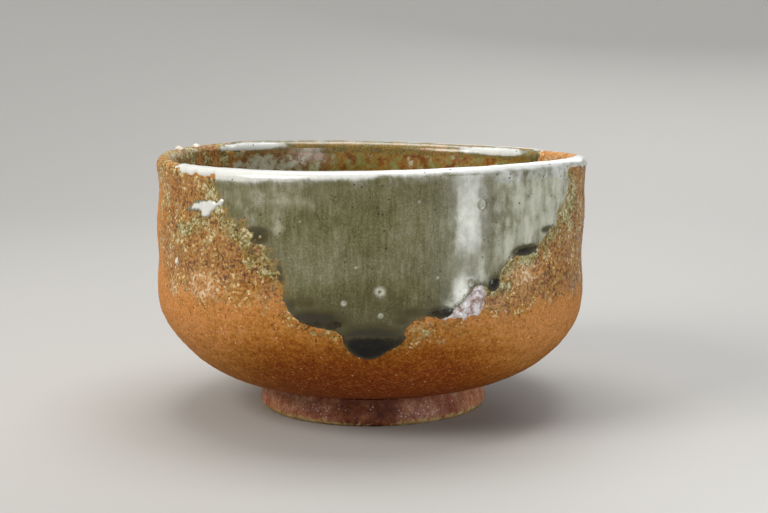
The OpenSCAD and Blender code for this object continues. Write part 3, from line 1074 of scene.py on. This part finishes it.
def inner_glaze():
    glaze = Finish("inner_ash_glaze", roughness=0.3, ior=1.5, coat_weight=0.5, coat_roughness=0.14)
    broad = glaze.clouds(12, 3, 0.6)
    patchy = glaze.clouds(2.8, 4, 0.65)
    fine = glaze.clouds(0.55, 3, 0.7)
    runs = glaze.clouds(1.4, 3, 0.65, stretch=(1, 1, 0.14))
    tone = glaze.sum("MULTIPLY_ADD", broad, 0.35, glaze.sum("MULTIPLY", patchy, 0.4))
    tone = glaze.sum("MULTIPLY_ADD", runs, 0.25, tone)
    base = glaze.colours(tone, (0.36, "5a3e0c"), (0.44, "7c6620"), (0.52, "857f40"), (0.60, "979262"),
                         (0.70, "b4b090"))
    milk = glaze.ramp(glaze.loosened(glaze.layer("milk"), patchy, 0.3), 0.25, 0.9)
    base = glaze.mix(glaze.sum("MULTIPLY", milk, 0.8), base, "cfd0c2")
    cover = glaze.loosened(glaze.layer("inside"), patchy, 0.35)
    rust = glaze.colours(patchy, (0.38, "74430f"), (0.50, "a06c22"), (0.62, "b89444"))
    base = glaze.mix(glaze.ramp(cover, 0.80, 0.35), base, rust)
    base = glaze.stain(base, "3c2e0c", fine, 0.35, 0.75, 0.25)
    base = glaze.mix(glaze.sum("MULTIPLY", glaze.layer("pool"), 0.5), base, "4a4c26")
    craze = glaze.cells(5.5, "DISTANCE_TO_EDGE", ragged=0.6).outputs["Distance"]
    base = glaze.mix(glaze.ramp(craze, 0.0, 0.022, 0.25, 0.0), base, "2a2814")
    relief = glaze.bump(patchy, 0.07)
    relief = glaze.bump(fine, 0.02, relief)
    return glaze.finish(base_color=base, normal=relief)


inner_finish = inner_glaze()
finished("inner_glaze", inner_mesh, inner_finish, "inner_ash_glaze", "inner_glaze")


# ---- The glass pool in the tea well ---------------------------------------------------------
# A lens of green glass in the shallow well of the floor. It is glaze that ran down the inside in
# the kiln, gathered there and set, so it is fused to the inside glaze all round.

pool_line = Line().run((well_r + 1.5, floor_z), (0, floor_z))
pool_mesh, along = spun(pool_line, 0.6, 200)
inside = pool_mesh.verts.layers.float.new("inside")
for corner in pool_mesh.verts:
    turn = angle_of(corner)
    r, z, _, _ = pool_line.at(corner[along])
    x, y = corner.co.xy
    shore = well_r - 1.6 + 1.5 * grain(x, y, 0, 9) + 0.9 * grain(x, y, 0, 3)
    depth = shore - r
    corner[inside] = min(1, max(0, depth / well_r))
    level = glaze_t - 0.12 + 0.10 * math.sqrt(1 - (1 - min(1, max(0, depth) / 1.5)) ** 2)
    sunk = 0.8 * min(0, depth)
    corner.co = thrown(r, floor_z + level + sunk, 0, 1, turn, 0)
bmesh.ops.recalc_face_normals(pool_mesh, faces=pool_mesh.faces)
if sum(f.normal.z for f in pool_mesh.faces) < 0:
    bmesh.ops.reverse_faces(pool_mesh, faces=pool_mesh.faces)
bmesh.ops.solidify(pool_mesh, geom=pool_mesh.faces[:], thickness=1.0 * MM)


def bottle_glass(name, *depths):
    """Glass that darkens with its depth; depths are the colour stops."""
    glass = Finish(name, roughness=0.20, ior=1.5, specular_ior_level=0.3)
    patchy = glass.clouds(2.4, 3, 0.6)
    edge = glass.loosened(glass.layer("inside"), patchy, 0.10)
    base = glass.colours(edge, *depths)
    craze = glass.cells(3.2, "DISTANCE_TO_EDGE", ragged=0.5).outputs["Distance"]
    base = glass.mix(glass.ramp(craze, 0.0, 0.025, 0.06, 0.0), base, "6b7040")
    return glass.finish(base_color=base, normal=glass.bump(patchy, 0.02))


pool_finish = bottle_glass(
    "floor_glass", (0.0, "77783e"), (0.12, "5c6430"), (0.40, "414d22"), (0.8, "2e3b19"))
finished("floor_glass_pool", pool_mesh, pool_finish, "pooled_glass", "floor_glass_pool")


# ---- The glass drops ------------------------------------------------------------------------
# Thick beads of glass, nearly black, that hang where the front glaze ran off the shoulder. They
# are the same ash glaze set several times as thick, and are fused to it along their upper edge.

glass_finish = bottle_glass(
    "drop_glass", (0.0, "423d28"), (0.14, "2f2a19"), (0.40, "151009"), (0.8, "0b0805"))


def bead(shape, height, width, top=99, fade=1):
    """A rounded drop over an outline, standing on whatever glaze lies there. Below its top it
    takes the given distance to reach its full height."""
    def rule(turn, z):
        u = turn * bowl_r
        depth = shape.depth(turn, z) + 0.3 * grain(u, 2, z, 1.8) + 0.15 * grain(u, 2, z, 0.8)
        under = max(0, apron_coat(turn, z))
        if depth < 0:
            return max(-0.4, 0.5 * depth) + 0.6 * under
        swell = height * math.sqrt(1 - (1 - min(1, depth / width)) ** 2)
        level = z + 0.5 * grain(u, 3, z, 3)
        full = step(top, top - fade, level)
        return (0.6 * under + swell) * full + (under - 0.25) * (1 - full)
    return rule


def glass_drop(name, box, height, width, top, fade, *outlines):
    """One drop or group of drops: box is its lowest and highest angle and height."""
    shapes = [Patch(*knots, pitch=0.5) for knots in outlines]
    beads = [bead(shape, height, width, top, fade) for shape in shapes]
    mesh, along, lifts = coat(*box, 0.3, lambda turn, z: max(b(turn, z) for b in beads))

    def within(turn, z):
        return max(s.depth(turn, z) for s in shapes)

    def heart(turn, z):
        full = step(top - 0.36 * fade, top - 0.95 * fade, z)
        return min(1, max(0, within(turn, z) / 3 * full))

    add_layers(mesh, inside=heart)
    far = [f for f in mesh.faces if all(within(angle_of(v), v.co.z) < -0.8 for v in f.verts)]
    bmesh.ops.delete(mesh, geom=far, context="FACES")
    settled(mesh, along, lifts)
    return finished(name, mesh, glass_finish, "pooled_glass", name)


glass_drop("centre_glass_drop", (-9, 11, 23, 36), 0.75, 3.4, 33.6, 5, [
    [-6.8, 33.8], [-6.2, 29], [-3.4, 25.6], [0.5, 24.6], [4, 27], [8.6, 29.8], [9.4, 32.6],
    [5, 34.6], [0, 35], [-4, 35],
])
glass_drop("left_glass_drop", (-23, -3, 31, 42), 0.45, 2.0, 37.6, 4.4, [
    [-20.5, 39.5], [-17, 34.8], [-12, 33.6], [-6.4, 33.2], [-5.6, 36], [-10, 38.4], [-15, 39.6],
])
glass_drop("right_glass_drops", (13, 50, 33, 56), 0.4, 1.5, 99, 1,
    [[14, 37.8], [15.5, 36], [18.5, 35.6], [21, 37], [20, 38.6], [17.5, 38.2]],
    [[30, 45], [29.8, 42.6], [31.6, 41.2], [33.8, 43], [33, 45.4]],
    [[37, 51.2], [40, 49.8], [44.4, 50], [47, 52.4], [43, 52.2], [40, 52.4]],
)


# ---- The ash crusts -------------------------------------------------------------------------
# Wood ash that fell on the bare clay beside the glaze and only half melted: a skin of separate
# grains in amber, olive and bone, which stuck as it cooled and frays out down and round the wall.


def crumbs(u, z, size):
    """Rounded grains packed together, from 0 between them to 1 on the biggest."""
    distances, points = noise.voronoi(Vector((u / size, 3.3, z / size)))
    bigness = 0.5 + 0.5 * noise.noise(points[0] * 7.7)
    return max(0, 1 - 1.5 * distances[0] ** 2) * bigness


def crust(name, low, high, bounds):
    """One crust: bounds gives how fully ash covers a spot, by angle and height."""
    def rule(turn, z):
        u = turn * bowl_r
        here = bounds(turn, z) + 0.45 * grain(u, 4, z, 2.2) + 0.35 * grain(u, 8, z, 7)
        here = step(0.30, 0.95, here) * step(4.2, -1.5, apron_depth(turn, z) + 3.4 * grain(u, 5, z, 1.3))
        thick = 0.34 * crumbs(u, z, 1.1) + 0.22 * crumbs(u + 50, z, 0.7) - 0.06
        return thick * here - 0.34 * (1 - here)
    mesh, along, lifts = coat(low, high, 31, 72.5, 0.36, rule)
    add_layers(mesh, ash=bounds, deep=fired_tone_and_belly_shade, pale=pale_ash, green=green_ash)
    settled(mesh, along, lifts)
    return finished(name, mesh, crust_finish, "ash_crust", name)


def ash_crust():
    ash = Finish("ash_crust", roughness=0.5, ior=1.5)
    base, _, fine, _ = fired_colour(ash, 0.15)
    relief = ash.bump(fine, 0.14, ash.bump(ash.cells(0.62, ragged=0.6).outputs["Distance"], -0.12))
    wet = ash.ramp(ash.clouds(1.6, 2, 0.5), 0.4, 0.6, 0.20, 0.60)
    return ash.finish(base_color=base, normal=relief, roughness=wet)


crust_finish = ash_crust()
crust("ash_crust_left", -92, -10, lambda turn, z: ash_fall(turn, z) * step(-6, -16, math.degrees(turn)))
crust("ash_crust_right", 8, 92, lambda turn, z: ash_fall(turn, z) * step(6, 16, math.degrees(turn))
      * step(91, 72, math.degrees(turn)))


# ---- The milky splash -----------------------------------------------------------------------
# A splash of glaze high on the left that stayed thick and set opal white. It landed on the bare
# clay beside the front glaze and is fused to it.

splash_shape = Patch(
    [-53, 62.2], [-50.5, 63.8], [-47.5, 65], [-44, 65.4], [-41.5, 65.2], [-38.6, 65.9], [-38.2, 64],
    [-41, 63.4], [-42.6, 62.6], [-43, 60.6], [-45, 60.4], [-46.4, 62.6], [-49, 61.4], [-51.5, 61],
    pitch=0.5,
)


def splash_depth(turn, z):
    u = turn * bowl_r
    return splash_shape.depth(turn, z) + 0.7 * grain(u, 1, z, 2) + 0.4 * grain(u, 1, z, 0.9)


def splash_coat(turn, z):
    depth = splash_depth(turn, z)
    if depth < 0:
        return max(-0.4, 0.5 * depth)
    return 0.7 * math.sqrt(1 - (1 - min(1, depth / 1.5)) ** 2)


def splash_milk(turn, z):
    """How opal the splash is: clear at its thin left end."""
    leftward = -45 - math.degrees(turn)
    return 0.12 + 0.80 * step(-0.1, 0.9, splash_depth(turn, z) - 0.14 * leftward)


splash_mesh, along, lifts = coat(-56, -33, 56, 68, 0.3, splash_coat)
add_layers(splash_mesh, milk=splash_milk, inside=lambda turn, z: 1)
cut_away(splash_mesh, lifts, 0.34)
settled(splash_mesh, along, lifts)
finished("milky_splash", splash_mesh, milky_finish, "milky_glaze", "milky_splash")


# ---- The ash curds --------------------------------------------------------------------------
# White and pinkish lumps of ash caught at the lower right edge of the front glaze. They only half
# melted, and stuck fast to the glaze and to the clay beside it.

curd_shape = Patch(
    [16.5, 35.2], [19, 36.6], [21.5, 38.6], [24, 41], [26.5, 44.6], [29.6, 43.6], [29.4, 40], [28, 36.4],
    [24, 34.6], pitch=0.5,
)


def curd_lumps(turn, z):
    u = turn * bowl_r
    depth = curd_shape.depth(turn, z) + 0.9 * grain(u, 6, z, 2.2) + 0.6 * grain(u, 6, z, 1)
    if depth < 0:
        return max(-0.4, 0.6 * depth)
    return (0.15 + 0.95 * crumbs(u, z, 2.2) + 0.45 * crumbs(u, z, 1.1)) * step(0, 1.4, depth)


curd_mesh, along, lifts = coat(13, 34, 31, 48, 0.3, curd_lumps)
cut_away(curd_mesh, lifts, 0.34)
settled(curd_mesh, along, lifts)


def ash_curd():
    curd = Finish("ash_curd", roughness=0.3, ior=1.5, coat_weight=0.2, coat_roughness=0.15)
    patchy = curd.clouds(1.5, 3, 0.6)
    fine = curd.clouds(0.5, 3, 0.7)
    base = curd.colours(patchy, (0.36, "8f7062"), (0.46, "b09c96"), (0.54, "cfc8c8"), (0.66, "eceaec"))
    base = curd.stain(base, "6b4a36", fine, 0.4, 0.75, 0.5)
    return curd.finish(base_color=base, normal=curd.bump(fine, 0.12))


finished("white_ash_curds", curd_mesh, ash_curd(), "white_curd", "white_ash_curds")


# ---- The feldspar stones --------------------------------------------------------------------
# White pebbles that were in the clay and sweated through: two on the lip's left back, and one
# smaller and longer in the left wall.

stones = bmesh.new()


def pebble(middle, size, turn):
    """A rounded stone about size across in each direction, the first along the wall."""
    made = bmesh.ops.create_icosphere(stones, subdivisions=4, radius=1)["verts"]
    for corner in made:
        lump = 1 + 0.22 * noise.noise(corner.co * 1.3 + Vector(middle)) + 0.07 * noise.noise(corner.co * 4)
        x, y, z = (corner.co[i] * lump * size[i] for i in range(3))
        corner.co = Vector((x * math.cos(turn) - y * math.sin(turn),
                            x * math.sin(turn) + y * math.cos(turn), z)) * MM + Vector(middle)


for degrees, across in ((-104, 1.6), (-115, 1.45)):
    turn = math.radians(degrees)
    seat = thrown(bowl_r - lip_r, lip_z + lip_r - 0.35, 0, 1, turn, 0)
    pebble(seat, (across, across * 0.85, across * 0.8), turn)
turn = math.radians(-58)
pebble(thrown(bowl_r, 47, 1, 0, turn, -0.3), (0.75, 0.9, 1.35), turn)


def feldspar():
    stone = Finish("feldspar", roughness=0.35, ior=1.5, coat_weight=0.3, coat_roughness=0.2)
    patchy = stone.clouds(1.2, 3, 0.6)
    base = stone.colours(patchy, (0.35, "b39b7d"), (0.5, "dcd2c2"), (0.65, "ece8e0"))
    return stone.finish(base_color=base, normal=stone.bump(stone.clouds(0.5, 2, 0.6), 0.05))


finished("feldspar_stones", stones, feldspar(), "feldspar", "feldspar_stones")
